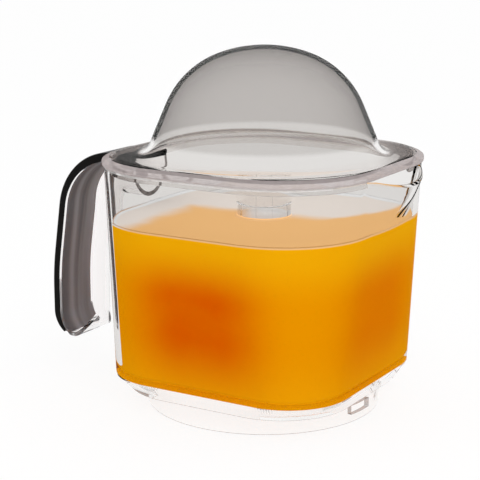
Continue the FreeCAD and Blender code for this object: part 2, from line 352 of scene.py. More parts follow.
jug_plastic = clear_plastic(
    "jug_plastic", film=(0.85, 0.84, 0.83), bend=1.12, gloss=0.05, edge_light=1.0,
    roughness=0.02, waviness=0.06, tint=(0.16, 0.08, 0.0), density=8.0)
jug = loft("jug_shell", jug_body_rings(), closed=True)
jug.data.materials.append(jug_plastic)
# The rounded rim is laid in dull grey, partly its own dullness and partly painted shade for the line a
# clear rim shows.
jug.data.materials.append(matt_plastic(
    "rim_edge", dark=(0.62, 0.60, 0.59), light=(0.80, 0.78, 0.77), clearness=0.35))
bead_start = FLAT_ROWS + CREASE_ROWS + WALL_ROWS + 1
for number in range(bead_start * POINTS_ROUND, (bead_start + BEAD_ROWS) * POINTS_ROUND):
    face = jug.data.polygons[number]
    if face.center.x < CREASE_HALF * MM:
        face.material_index = 1
even_shading(jug)
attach(jug, "jug")
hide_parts("jug_body")

# Base collar: the chamfered skirt and round bayonet ring under the jug, in the same clear plastic.
# It is moulded apart and welded along the jug's lower crease; the two windows in the ring
# take the lugs of the motor base.
RING_RADIUS, BORE_RADIUS = 59.0, 56.5
RING_HEIGHT = 10.2
FOOT_HALF, FOOT_CORNER = 59.4, 37.0
SKIRT_WALL = 2.2
EDGE_ROUND = 0.4
SHELF_STEP = 0.1
FOOT_EDGE_IN, FOOT_EDGE_OUT, FOOT_EDGE_RISE = 0.05, 0.15, 0.3
CHAMFER_IN, CHAMFER_CORNER, CHAMFER_DROP = 0.4, 0.5, 0.9
CREASE_EDGE = 0.25
WINDOW_LOW, WINDOW_HIGH = 3.8, 8.4
WINDOW_HALF_STEPS = 7
WINDOW_TURN_STEPS = -5
OUTER_WINDOW_ROW, INNER_WINDOW_ROW = 4, 16
DULL_FOOT_EDGES = ({1, 2}, {2, 3}, {7, 8})
DULL_WINDOW_EDGES = ({4, 17}, {5, 16}, {4, 5, 16, 17})


def collar_rings():
    shelf_z = RING_HEIGHT + SKIRT_WALL
    top_z = CREASE_Z - WELD_GAP
    soft = EDGE_ROUND
    return [
        round_ring(BORE_RADIUS + soft, 0),
        round_ring(RING_RADIUS - soft, 0),
        round_ring(RING_RADIUS - soft * 0.3, soft * 0.3),
        round_ring(RING_RADIUS, soft),
        round_ring(RING_RADIUS, WINDOW_LOW),
        round_ring(RING_RADIUS, WINDOW_HIGH),
        round_ring(RING_RADIUS, RING_HEIGHT - SHELF_STEP),
        square_ring(FOOT_HALF - FOOT_EDGE_IN, FOOT_CORNER, RING_HEIGHT),
        square_ring(FOOT_HALF + FOOT_EDGE_OUT, FOOT_CORNER, RING_HEIGHT + FOOT_EDGE_RISE),
        square_ring(CREASE_HALF - CHAMFER_IN, CREASE_CORNER + CHAMFER_CORNER, top_z - CHAMFER_DROP),
        square_ring(CREASE_HALF, CREASE_CORNER, top_z - CREASE_EDGE),
        square_ring(CREASE_HALF - CREASE_EDGE, CREASE_CORNER, top_z),
        square_ring(CREASE_HALF - SKIRT_WALL, CREASE_CORNER - SKIRT_WALL, top_z),
        square_ring(FOOT_HALF - SKIRT_WALL, FOOT_CORNER - SKIRT_WALL, shelf_z),
        round_ring(BORE_RADIUS + soft * 0.3, shelf_z - SHELF_STEP),
        round_ring(BORE_RADIUS, shelf_z - soft),
        round_ring(BORE_RADIUS, WINDOW_HIGH),
        round_ring(BORE_RADIUS, WINDOW_LOW),
        round_ring(BORE_RADIUS, soft),
        round_ring(BORE_RADIUS + soft * 0.3, soft * 0.3),
    ]


def cut_windows(piece, outer_low_row, inner_high_row):
    """Opens the two bayonet windows in the ring and closes their four sides."""
    mesh = piece.data
    points = [tuple(vertex.co / MM) for vertex in mesh.vertices]
    faces = [tuple(face.vertices) for face in mesh.polygons]
    taken = set()
    sides = []
    for middle in (WINDOW_TURN_STEPS, POINTS_ROUND // 2 + WINDOW_TURN_STEPS):
        reach = range(-WINDOW_HALF_STEPS, WINDOW_HALF_STEPS + 1)
        columns = [(middle + step) % POINTS_ROUND for step in reach]

        def row_points(row):
            return [row * POINTS_ROUND + column for column in columns]

        low_out, high_out = row_points(outer_low_row), row_points(outer_low_row + 1)
        high_in, low_in = row_points(inner_high_row), row_points(inner_high_row + 1)
        for left in range(len(columns) - 1):
            right = left + 1
            taken.add(frozenset((low_out[left], low_out[right], high_out[left], high_out[right])))
            taken.add(frozenset((low_in[left], low_in[right], high_in[left], high_in[right])))
            sides.append((low_out[left], low_out[right], low_in[right], low_in[left]))
            sides.append((high_out[left], high_out[right], high_in[right], high_in[left]))
        for end in (0, -1):
            sides.append((low_out[end], low_in[end], high_in[end], high_out[end]))
    kept = [face for face in faces if frozenset(face) not in taken]
    cut = mesh_object(piece.name + "_cut", points, kept + sides)
    piece.data = cut.data
    bpy.data.objects.remove(cut)


def sharp_creases(piece, degrees):
    piece.data.set_sharp_from_angle(angle=math.radians(degrees))


collar_plastic = clear_plastic(
    "collar_plastic", film=(1.0, 0.995, 0.99), bend=1.02, gloss=0.5, edge_light=1.0,
    roughness=0.02, waviness=0.05, tint=(0.12, 0.06, 0.0), density=4.0)
collar = loft("collar_ring", collar_rings(), closed=True)
cut_windows(collar, OUTER_WINDOW_ROW, INNER_WINDOW_ROW)
collar.data.materials.append(collar_plastic)
# The foot's and windows' edges are laid in dark grey, partly their own dullness and partly painted shade
# for the dark lines of clear edges.
collar.data.materials.append(matt_plastic(
    "collar_edge", dark=(0.30, 0.27, 0.265), light=(0.45, 0.42, 0.415), clearness=0.35))
for face in collar.data.polygons:
    joined_rows = {corner // POINTS_ROUND for corner in face.vertices}
    if joined_rows in DULL_FOOT_EDGES + DULL_WINDOW_EDGES:
        face.material_index = 1
sharp_creases(collar, 50)
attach(collar, "jug")
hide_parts("base_collar")

# Shaft column: a hollow tapered post of the same clear plastic, welded over the hole in the floor.
# The press's drive shaft comes up through it, above the level of the juice.
COLUMN_LOW_RADIUS, COLUMN_TOP_RADIUS = 17.6, 13.2
COLUMN_WALL = 2.0
COLUMN_TOP_Z = 101.0


def column_radius(z):
    return mix(COLUMN_LOW_RADIUS, COLUMN_TOP_RADIUS, (z - FLOOR_Z) / (COLUMN_TOP_Z - FLOOR_Z))


def column_rings():
    low_z = FLOOR_Z + WELD_GAP
    high_z = COLUMN_TOP_Z - WELD_GAP
    rings = []
    for share in steps(12):
        z = mix(low_z, high_z, share)
        rings.append(round_ring(column_radius(z), z))
    for share in steps(12):
        z = mix(high_z, low_z, share)
        rings.append(round_ring(column_radius(z) - COLUMN_WALL, z))
    return rings


column_plastic = clear_plastic(
    "column_plastic", film=(0.995, 0.99, 0.99), bend=1.03, gloss=0.2, edge_light=0.9,
    roughness=0.02, waviness=0.04, tint=(0.14, 0.07, 0.0), density=26.0)
column = loft("column_post", column_rings(), closed=True)
column.data.materials.append(column_plastic)
sharp_creases(column, 50)
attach(column, "jug")
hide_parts("shaft_column")

# Column bush: a turned collar of clear, slightly greyer plastic, pushed into the column's top.
# Its flange rests on the column's edge and the drive shaft runs in its bore.
BUSH_RADIUS = 13.9
BUSH_TOP_Z = 105.5
SPIGOT_RADIUS = 11.1
SPIGOT_LOW_Z = 92.0
SHAFT_BORE_RADIUS = 4.1
BUSH_ROUND = 0.6


def bush_rings():
    soft = BUSH_ROUND
    low_z = COLUMN_TOP_Z + WELD_GAP
    return [
        round_ring(SHAFT_BORE_RADIUS, SPIGOT_LOW_Z),
        round_ring(SPIGOT_RADIUS - soft, SPIGOT_LOW_Z),
        round_ring(SPIGOT_RADIUS, SPIGOT_LOW_Z + soft),
        round_ring(SPIGOT_RADIUS, low_z),
        round_ring(BUSH_RADIUS - soft * 0.3, low_z),
        round_ring(BUSH_RADIUS, low_z + soft * 0.3),
        round_ring(BUSH_RADIUS, BUSH_TOP_Z - soft),
        round_ring(BUSH_RADIUS - soft * 0.3, BUSH_TOP_Z - soft * 0.3),
        round_ring(BUSH_RADIUS - soft, BUSH_TOP_Z),
        round_ring(SHAFT_BORE_RADIUS + soft, BUSH_TOP_Z),
        round_ring(SHAFT_BORE_RADIUS, BUSH_TOP_Z - soft),
    ]


bush_plastic = clear_plastic(
    "bush_plastic", film=(0.99, 0.985, 0.98), bend=1.015, gloss=0.2, edge_light=0.9,
    roughness=0.05, waviness=0.05, tint=(0.12, 0.06, 0.0), density=3.0)
bush = loft("shaft_bush", bush_rings(), closed=True)
bush.data.materials.append(bush_plastic)
sharp_creases(bush, 50)
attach(bush, "jug")
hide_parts("column_bush")

# Handle channel: a hollow U of clear plastic with its round side to the fingers.
# It is welded to the wall just under the rim, turns down in a wide shoulder and ends free
# in a rounded nose; its open side is the seat for the black grip.
HANDLE_HALF_WIDTH = 15.0
HANDLE_FLAT = 4.0
HANDLE_WALL = 2.2
GRIP_THICKNESS = 4.5
HANDLE_TOP_Z = 121.0
HANDLE_BOTTOM_Z = 17.5
HANDLE_BACK_X = -123.3
HANDLE_BEND_Z = 54.0
HANDLE_LEAN = 8.3
SHOULDER_RADIUS, BACK_RADIUS = 35.0, 150.0
HEEL_RADIUS, TOE_RADIUS, CHEEK_RADIUS = 4.0, 17.0, 3.0
TUCK_RADIUS, TUCK_REACH = 14.0, 11.5
NOSE_START_Z = 40.0
NOSE_MIDDLE = 5.0
NOSE_LOOPS = (0.985, 0.95, 0.89, 0.8, 0.66, 0.45, 0.2)
SEAT_GAP = 0.05


def arc_between(before, corner, after, radius, count):
    """Points on the arc that rounds a corner of a path."""
    back = (before - corner).normalized()
    ahead = (after - corner).normalized()
    half_angle = back.angle(ahead) / 2
    centre = corner + (back + ahead).normalized() * (radius / math.sin(half_angle))
    start = corner + back * (radius / math.tan(half_angle)) - centre
    end = corner + ahead * (radius / math.tan(half_angle)) - centre
    return [centre + start.slerp(end, share).normalized() * radius for share in steps(count)]


def handle_stations():
    """Points along the seat between channel and grip, each with the direction towards the fingers."""
    back_x = HANDLE_BACK_X + GRIP_THICKNESS
    seat_z = HANDLE_TOP_Z - GRIP_THICKNESS
    shoulder_x = back_x + (seat_z - HANDLE_BEND_Z) * math.tan(math.radians(HANDLE_LEAN))
    corners = [
        Vector((-CREASE_HALF, 0, seat_z)),
        Vector((shoulder_x, 0, seat_z)),
        Vector((back_x, 0, HANDLE_BEND_Z)),
        Vector((back_x, 0, NOSE_START_Z)),
    ]
    points = [corners[0], corners[0].lerp(corners[1], 1 / 6)]
    points += arc_between(corners[0], corners[1], corners[2], SHOULDER_RADIUS - GRIP_THICKNESS, 28)
    points += arc_between(corners[1], corners[2], corners[3], BACK_RADIUS - GRIP_THICKNESS, 10)
    points.append(corners[3])
    stations = []
    for number, point in enumerate(points):
        before = points[max(number - 1, 0)]
        after = points[min(number + 1, len(points) - 1)]
        along = (after - before).normalized()
        stations.append((point, Vector((-along.z, 0, along.x)).normalized()))
    return stations


def nose_z(depth, side, inset=0.0):
    """The height of the handle's free end, rounded at its heel, its toe and both cheeks."""
    def fall(distance, radius):
        short = min(max(radius - distance, 0), radius)
        return radius - math.sqrt(radius * radius - short * short)

    heel = fall(depth + GRIP_THICKNESS - inset, HEEL_RADIUS - inset)
    toe = fall(HANDLE_FLAT + HANDLE_HALF_WIDTH - depth - inset, TOE_RADIUS - inset)
    cheek = fall(HANDLE_HALF_WIDTH - abs(side) - inset, CHEEK_RADIUS - inset)
    return HANDLE_BOTTOM_Z + inset + (heel ** 3 + toe ** 3 + cheek ** 3) ** (1 / 3)


def tucked_x(x, depth, z):
    """Draws the back of the handle's end in towards the fingers, so that the strip curls under it."""
    low = min(max(HANDLE_BOTTOM_Z + TUCK_RADIUS - z, 0), TUCK_REACH)
    tuck = TUCK_RADIUS - math.sqrt(TUCK_RADIUS * TUCK_RADIUS - low * low)
    share = (depth + GRIP_THICKNESS) / (GRIP_THICKNESS + HANDLE_FLAT + HANDLE_HALF_WIDTH)
    return x + tuck * (1 - share)


def channel_outline(half_width):
    """The U of the channel as (depth, side) from one edge of the seat round to the other."""
    outline = [(mix(SEAT_GAP, HANDLE_FLAT, share), -half_width) for share in steps(3)[:-1]]
    for share in steps(32):
        turn = math.pi * share
        outline.append((HANDLE_FLAT + half_width * math.sin(turn), -half_width * math.cos(turn)))
    outline += [(mix(HANDLE_FLAT, SEAT_GAP, share), half_width) for share in steps(3)[1:]]
    return outline


def on_station(station, depth, side):
    point, inward = station
    place = point + inward * depth
    return place.x, side, place.z


def against_jug(points):
    """Draws the handle's first section back to the jug's flat side, with a hair of room for the weld."""
    moved = []
    for x, y, z in points:
        wall = mix(CREASE_HALF, RIM_HALF, (z - CREASE_Z) / (RIM_Z - CREASE_Z))
        moved.append((-wall - WELD_GAP, y, z))
    return moved


def handle_rings(outline, end_of):
    """Sections along the handle, from the jug's wall to the start of the nose, then down to its end."""
    stations = handle_stations()
    rings = [[on_station(station, depth, side) for depth, side in outline] for station in stations]
    rings[0] = against_jug(rings[0])
    last = stations[-1]
    for share in steps(20)[1:]:
        ring = []
        for depth, side in outline:
            x, y, z = on_station(last, depth, side)
            z = mix(z, end_of(depth, side), math.sin(share * math.pi / 2))
            ring.append((tucked_x(x, depth, z), y, z))
        rings.append(ring)
    return rings


def channel_mesh():
    """The hollow U, closed along the seat's two edges, against the jug and at the free nose."""
    outer = channel_outline(HANDLE_HALF_WIDTH)
    inner = channel_outline(HANDLE_HALF_WIDTH - HANDLE_WALL)
    back_x = HANDLE_BACK_X + GRIP_THICKNESS
    points = []
    faces = []

    def add(ring):
        start = len(points)
        points.extend(ring)
        return list(range(start, start + len(ring)))

    def join(low, high, around=False):
        for place in range(len(low) if around else len(low) - 1):
            beside = (place + 1) % len(low)
            faces.append((low[place], low[beside], high[beside], high[place]))

    def end_point(depth, side, end_of):
        z = end_of(depth, side)
        return tucked_x(back_x + depth, depth, z), side, z

    def close_nose(rim, outline, end_of):
        """Fills the rounded end inside a rim, in smaller and smaller loops."""
        for share in NOSE_LOOPS:
            loop = []
            for depth, side in outline:
                depth = mix(HANDLE_FLAT + NOSE_MIDDLE, depth, share)
                loop.append(end_point(depth, side * share, end_of))
            inner_rim = add(loop)
            join(rim, inner_rim, around=True)
            rim = inner_rim
        faces.append(tuple(rim))

    def pocket_z(depth, side):
        return nose_z(depth, side, HANDLE_WALL)

    def seat_line(half_width):
        return [(SEAT_GAP, mix(half_width, -half_width, share)) for share in steps(12)[1:-1]]

    outer_rows = [add(ring) for ring in handle_rings(outer, nose_z)]
    inner_rows = [add(ring) for ring in handle_rings(inner, pocket_z)]
    for rows in (outer_rows, inner_rows):
        for low, high in zip(rows, rows[1:]):
            join(low, high)
    weld_start = len(faces)
    join(outer_rows[0], inner_rows[0])
    weld_end = len(faces)
    for end in (0, -1):
        join([row[end] for row in outer_rows], [row[end] for row in inner_rows])
    outer_seat = seat_line(HANDLE_HALF_WIDTH)
    inner_seat = seat_line(HANDLE_HALF_WIDTH - HANDLE_WALL)
    outer_edge = add([end_point(depth, side, nose_z) for depth, side in outer_seat])
    inner_edge = add([end_point(depth, side, pocket_z) for depth, side in inner_seat])
    close_nose(outer_rows[-1] + outer_edge, outer + outer_seat, nose_z)
    close_nose(inner_rows[-1] + inner_edge, inner + inner_seat, pocket_z)
    outer_line = [outer_rows[-1][-1]] + outer_edge + [outer_rows[-1][0]]
    inner_line = [inner_rows[-1][-1]] + inner_edge + [inner_rows[-1][0]]
    join(outer_line, inner_line)
    shell = mesh_object("handle_shell", points, faces)
    for number in range(weld_start, weld_end):
        shell.data.polygons[number].material_index = 1
    return shell


handle_plastic = clear_plastic(
    "handle_plastic", film=(0.99, 0.98, 0.98), bend=1.16, gloss=0.6, edge_light=1.0,
    roughness=0.02, waviness=0.05, tint=(0.14, 0.07, 0.0), density=10.0)
channel = channel_mesh()
channel.data.materials.append(handle_plastic)
channel.data.materials.append(matt_plastic(
    "weld_face", dark=(0.10, 0.09, 0.09), light=(0.34, 0.32, 0.32), clearness=0.1))
sharp_creases(channel, 40)
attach(channel, "jug")
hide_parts("handle_channel")

# Handle grip: a strip of satin black plastic that closes the channel's open side and curls under its end.
# It is moulded with softened outer edges and glued onto the seat, which is painted grey with long pale
# streaks: a painted sheen and painted highlights.
GRIP_EDGE = 1.4
SEAT_COLUMNS = 8
BLACK, WORN_BLACK = (0.004, 0.004, 0.004, 1.0), (0.009, 0.0085, 0.008, 1.0)
SEAT_SHEEN_GREY, SEAT_STREAK_HIGHLIGHT = (0.115, 0.120, 0.133, 1.0), (0.32, 0.345, 0.38, 1.0)


def grip_outline():
    """The strip's section as (depth, side), counted outwards from the seat."""
    half = HANDLE_HALF_WIDTH
    outline = [(0, mix(half, -half, share)) for share in steps(SEAT_COLUMNS)]
    corner = (GRIP_EDGE - GRIP_THICKNESS, GRIP_EDGE - half)
    for share in steps(6):
        turn = share * math.pi / 2
        outline.append((corner[0] - GRIP_EDGE * math.sin(turn), corner[1] - GRIP_EDGE * math.cos(turn)))
    for share in steps(8)[1:-1]:
        outline.append((-GRIP_THICKNESS, mix(GRIP_EDGE - half, half - GRIP_EDGE, share)))
    for share in steps(6):
        turn = share * math.pi / 2
        outline.append((corner[0] - GRIP_EDGE * math.cos(turn), -corner[1] + GRIP_EDGE * math.sin(turn)))
    return outline


def satin_black(name):
    """Black plastic with a fine spark-eroded grain and slightly uneven polish."""
    material, nodes, links, shell = new_material(name)
    _, _, blended = shade_maths(nodes, links)
    shell.inputs["Specular IOR Level"].default_value = 0.03
    grain = speckle(nodes, links, 2600.0, 3.0)
    cloud = speckle(nodes, links, 90.0)
    links.new(blended(cloud, BLACK, WORN_BLACK), shell.inputs["Base Color"])
    polish = nodes.new("ShaderNodeMapRange")
    polish.inputs["To Min"].default_value = 0.24
    polish.inputs["To Max"].default_value = 0.4
    links.new(cloud, polish.inputs["Value"])
    links.new(polish.outputs["Result"], shell.inputs["Roughness"])
    relief = nodes.new("ShaderNodeBump")
    relief.inputs["Strength"].default_value = 0.12
    relief.inputs["Distance"].default_value = 0.0001
    links.new(grain, relief.inputs["Height"])
    links.new(relief.outputs["Normal"], shell.inputs["Normal"])
    return material


def painted_seat_sheen(name):
    """The seat seen through the channel, painted dark grey with long pale streaks down the handle: a
    painted sheen and painted highlights.
    """
    material, nodes, links, shell = new_material(name)
    shell.inputs["Roughness"].default_value = 0.6
    shell.inputs["Specular IOR Level"].default_value = 0.0
    place = nodes.new("ShaderNodeTexCoord")
    stretch = nodes.new("ShaderNodeMapping")
    stretch.inputs["Scale"].default_value = (3.0, 120.0, 3.0)
    links.new(place.outputs["Object"], stretch.inputs["Vector"])
    streak = nodes.new("ShaderNodeTexNoise")
    streak.inputs["Scale"].default_value = 1.0
    streak.inputs["Detail"].default_value = 2.0
    links.new(stretch.outputs["Vector"], streak.inputs["Vector"])
    # Painted sheen and painted highlight streaks on the seat.
    shade = nodes.new("ShaderNodeValToRGB")
    for end, position, colour in ((0, 0.35, SEAT_SHEEN_GREY), (1, 0.68, SEAT_STREAK_HIGHLIGHT)):
        shade.color_ramp.elements[end].position = position
        shade.color_ramp.elements[end].color = colour
    links.new(streak.outputs["Fac"], shade.inputs["Fac"])
    links.new(shade.outputs["Color"], shell.inputs["Base Color"])
    return material


grip = loft("grip_strip", handle_rings(grip_outline(), nose_z))
grip.data.materials.append(satin_black("grip_plastic"))
grip.data.materials.append(painted_seat_sheen("grip_seat_sheen"))
columns_round = len(grip_outline())
for face in grip.data.polygons:
    columns = [corner % columns_round for corner in face.vertices]
    if len(face.vertices) == 4 and max(columns) <= SEAT_COLUMNS:
        face.material_index = 1
sharp_creases(grip, 50)
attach(grip, "jug")
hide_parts("handle_grip")

# Juice: about a litre of freshly pressed orange juice, cloudy with fine pulp.
# It fills the jug round the column and rises a little where it touches the walls.
# Its colour carries painted light: deep orange in the middle of each side, painted lighter towards the
# corners, the top, the bottom and the spout side, a paler painted top face, a painted shade line at the
# front wall and a painted glow round the column and on the bottom; towards the back its surface carries
# pale froth.
JUICE_Z = 94.5
FILM_GAP, CONTACT = 0.15, 0.05
DRY_SIDE, DRY_REACH, DRY_FADE = math.radians(204), 0.91, 0.03
MENISCUS, MENISCUS_CURVE = 1.1, 2.5
WALL_MENISCUS_WIDTH, COLUMN_MENISCUS_WIDTH = 2.2, 2.0
SURFACE_FLAT_RADIUS = 56.0
DEEP_ORANGE = (0.665, 0.100, 0.0, 1.0)
LIT_SPOUT_SIDE_ORANGE = (0.72, 0.188, 0.0, 1.0)
LIT_CORNER_AND_PULP_ORANGE = (0.78, 0.283, 0.0, 1.0)
LIT_LOW_ORANGE = (0.83, 0.355, 0.002, 1.0)
LIT_TOP_YELLOW = (0.83, 0.385, 0.002, 1.0)
LIT_SURFACE_PEACH = (0.86, 0.525, 0.25, 1.0)
FROTH = (0.78, 0.79, 0.80, 1.0)
PAINTED_CONTACT_SHADE = (0.50, 0.21, 0.03, 1.0)
SPOUT_SIDE_BAND, CORNER_BAND = (0.030, 0.064), (0.010, 0.050)
LOW_BAND, TOP_BAND = (0.048, 0.008), (0.064, 0.0925)
SURFACE_BAND, CONTACT_SHADE_BAND, FRONT_BAND = (0.0942, 0.0946), (0.0950, 0.0953), (0.0, -0.03)
PULP_BAND, FROTH_BAND = (0.35, 0.75), (-0.008, 0.008)
PULP_SHARE, CONTACT_SHADE_SHARE = 0.12, 0.6
FROTH_HANDLE_X, FROTH_SPOUT_X, FROTH_BACK_Y = -0.043, 0.032, 0.005
FROTH_SPOUT_SLOPE, FROTH_BACK_SLOPE, FROTH_RAGGED = 1.7, 0.1, 0.012
COLUMN_SIDE, COLUMN_TAPER = 0.0140, 0.0537
COLUMN_SEEN_BAND, FLOOR_BAND = (0.060, 0.080), (0.0200, 0.0192)
HOLE_PAINTED_GLOW, BOTTOM_PAINTED_GLOW = 0.4, 0.32


def film_gap(angle):
    """How far the juice stays off the wall: it wets it all round but for the front of the handle side."""
    share = min(max((math.cos(angle - DRY_SIDE) - DRY_REACH) / DRY_FADE, 0.0), 1.0)
    return mix(-CONTACT, FILM_GAP, share)


def juice_rings():
    rings = []
    low_z = FLOOR_Z - CONTACT
    for share in steps(4):
        radius = mix(column_radius(FLOOR_Z) + FILM_GAP, FLOOR_FLAT_RADIUS, share)
        rings.append(round_ring(radius, low_z))
    for share in steps(FLOOR_ROUND_ROWS):
        turn = share * math.pi / 2
        draw_in = FLOOR_ROUND * (1 - math.sin(turn)) - CONTACT
        z = mix(low_z, FLOOR_Z + FLOOR_ROUND, 1 - math.cos(turn))
        rings.append(square_ring(LOW_HALF - draw_in, LOW_CORNER - draw_in, z))
    round_z = FLOOR_Z + FLOOR_ROUND
    for share in steps(36)[1:]:
        z = mix(round_z, JUICE_Z + MENISCUS, share)
        rings.append([inner_wall_point(angle, z, film_gap(angle)) for angle in angles()])
    for share in steps(6)[1:]:
        z = JUICE_Z + MENISCUS * (1 - share) ** MENISCUS_CURVE
        from_wall = WALL_MENISCUS_WIDTH * share
        rings.append([inner_wall_point(angle, z, film_gap(angle) + from_wall) for angle in angles()])
    for share in steps(6):
        radius = mix(SURFACE_FLAT_RADIUS, column_radius(JUICE_Z) + COLUMN_MENISCUS_WIDTH, share)
        rings.append(round_ring(radius, JUICE_Z))
    for share in steps(6)[1:]:
        z = JUICE_Z + MENISCUS * share ** MENISCUS_CURVE
        rings.append(round_ring(column_radius(z) + mix(COLUMN_MENISCUS_WIDTH, FILM_GAP, share), z))
    for share in steps(12)[1:-1]:
        z = mix(JUICE_Z + MENISCUS, low_z, share)
        rings.append(round_ring(column_radius(z) + FILM_GAP, z))
    return rings


def place_on_piece(nodes, links):
    """The x, y and z of each spot on a piece, in metres."""
    place = nodes.new("ShaderNodeTexCoord")
    split = nodes.new("ShaderNodeSeparateXYZ")
    links.new(place.outputs["Object"], split.inputs["Vector"])
    return [split.outputs[axis] for axis in "XYZ"]


def cloudy_juice(name):
    """Cloudy juice with painted light: deep orange mid-side, painted lighter at the corners, near the top
    and bottom and towards the spout.
    """
    material, nodes, links, shell = new_material(name)
    number, ranged, blended = shade_maths(nodes, links)
    shell.inputs["Roughness"].default_value = 0.35
    shell.inputs["Specular IOR Level"].default_value = 0.0
    x, y, z = place_on_piece(nodes, links)
    off_middle = number("MINIMUM", number("ABSOLUTE", x), number("ABSOLUTE", y))
    pulp = speckle(nodes, links, 60.0, 5.0)
    # Painted light: lighter towards the spout side, the corners, the bottom and the top; the pulp mottle is
    # the juice's own.
    body = blended(ranged(x, *SPOUT_SIDE_BAND), DEEP_ORANGE, LIT_SPOUT_SIDE_ORANGE)
    body = blended(ranged(off_middle, *CORNER_BAND), body, LIT_CORNER_AND_PULP_ORANGE)
    body = blended(ranged(z, *LOW_BAND), body, LIT_LOW_ORANGE)
    body = blended(ranged(z, *TOP_BAND), body, LIT_TOP_YELLOW)
    cloud = number("MULTIPLY", ranged(pulp, *PULP_BAND), PULP_SHARE)
    body = blended(cloud, body, LIT_CORNER_AND_PULP_ORANGE)

    by_handle = number("SUBTRACT", FROTH_HANDLE_X, x)
    past_spout = number("MAXIMUM", number("SUBTRACT", x, FROTH_SPOUT_X), 0.0)
    at_spout = number("MULTIPLY", past_spout, FROTH_SPOUT_SLOPE)
    across = number("ADD", number("MULTIPLY", x, FROTH_BACK_SLOPE), FROTH_BACK_Y)
    at_back = number("SUBTRACT", number("SUBTRACT", y, across), at_spout)
    drift = number("MULTIPLY", number("SUBTRACT", pulp, 0.5), FROTH_RAGGED)
    ragged = number("ADD", number("MAXIMUM", by_handle, at_back), drift)
    # The top face is painted a paler peach as painted light from above; the froth towards the back is its
    # own.
    top = blended(ranged(ragged, *FROTH_BAND), LIT_SURFACE_PEACH, FROTH)
    body = blended(ranged(z, *SURFACE_BAND), body, top)
    # A painted shade line where the meniscus meets the front wall.
    at_front = number("MULTIPLY", ranged(y, *FRONT_BAND), CONTACT_SHADE_SHARE)
    body = blended(number("MULTIPLY", ranged(z, *CONTACT_SHADE_BAND), at_front), body, PAINTED_CONTACT_SHADE)

    # The wall of the hole round the column is painted in the top face's colour with a painted glow, so
    # that, seen through the column, it reads as the lit surface.
    from_axis = number("SQRT", number("ADD", number("MULTIPLY", x, x), number("MULTIPLY", y, y)))
    taper = number("MULTIPLY", number("SUBTRACT", z, JUICE_Z * MM), COLUMN_TAPER)
    by_column = number("LESS_THAN", number("ADD", from_axis, taper), COLUMN_SIDE)
    hole_painted_as_top = number("MULTIPLY", by_column, ranged(z, *COLUMN_SEEN_BAND))
    body = blended(hole_painted_as_top, body, top)
    links.new(body, shell.inputs["Base Color"])
    links.new(body, shell.inputs["Emission Color"])
    hole_painted_glow = number("MULTIPLY", hole_painted_as_top, HOLE_PAINTED_GLOW)
    # Painted glow on the juice's bottom, standing in for light coming through it.
    bottom_painted_glow = number("MULTIPLY", ranged(z, *FLOOR_BAND), BOTTOM_PAINTED_GLOW)
    links.new(number("MAXIMUM", hole_painted_glow, bottom_painted_glow), shell.inputs["Emission Strength"])
    return material


juice = loft("juice_fill", juice_rings(), closed=True)
juice.data.materials.append(cloudy_juice("orange_juice"))
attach(juice, "jug")
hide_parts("juice")

# Dust cover: a thin dome of smoke-tinted plastic that spreads into a square flange.
# It rests loose on the rim; a rib under the flange drops inside the rim and is left open at the spout.
COVER_HALF, COVER_CORNER = 71.9, 50.5
COVER_LOW_Z = RIM_Z + WELD_GAP
COVER_EDGE_Z = 125.1
COVER_TOP_Z = 126.4
COVER_BORDER = 4.0
COVER_WALL = 2.2
DOME_HEIGHT = 53.0
CAP_RADIUS, CAP_ANGLE = 66.0, 20.0
DOME_SHOULDER_RADIUS = 45.0
FLANK_ANGLE = 23.0
DOME_FOOT_RADIUS = 9.0
RIB_OUTER_HALF, RIB_OUTER_CORNER = 68.3, 46.9
RIB_WALL = 1.6
RIB_Z = 119.0
RIB_GAP_HALF = 22.0
COVER_EDGE_ROUND, COVER_EDGE_CROWN = 0.6, 0.1
BORDER_IN, BORDER_OUT, BORDER_DROP = 0.6, 0.4, 0.12
RIB_DRAFT, RIB_RAMP = 0.25, 1.5
DULL_EDGE_ROWS = range(1, 7)
DOME_FILM = (0.715, 0.697, 0.683, 1.0)
DOME_RIM_FILM = (0.25, 0.235, 0.23, 1.0)
FOOT_HIGHLIGHT_FILM = (0.90, 0.89, 0.88, 1.0)
FLANGE_FILM = (0.87, 0.85, 0.835, 1.0)
FLANGE_END_SHADE_FILM = (0.42, 0.39, 0.38, 1.0)
FLANGE_STEP, DOME_STEP, FLANGE_END_BAND = (0.1266, 0.1280), (0.1325, 0.1350), (0.050, 0.072)
LONG_WAY_X, LONG_WAY_Y = 0.86, 0.51
RIM_FALL_OFF = 2.2
DOME_EDGE_LOSS = 0.8


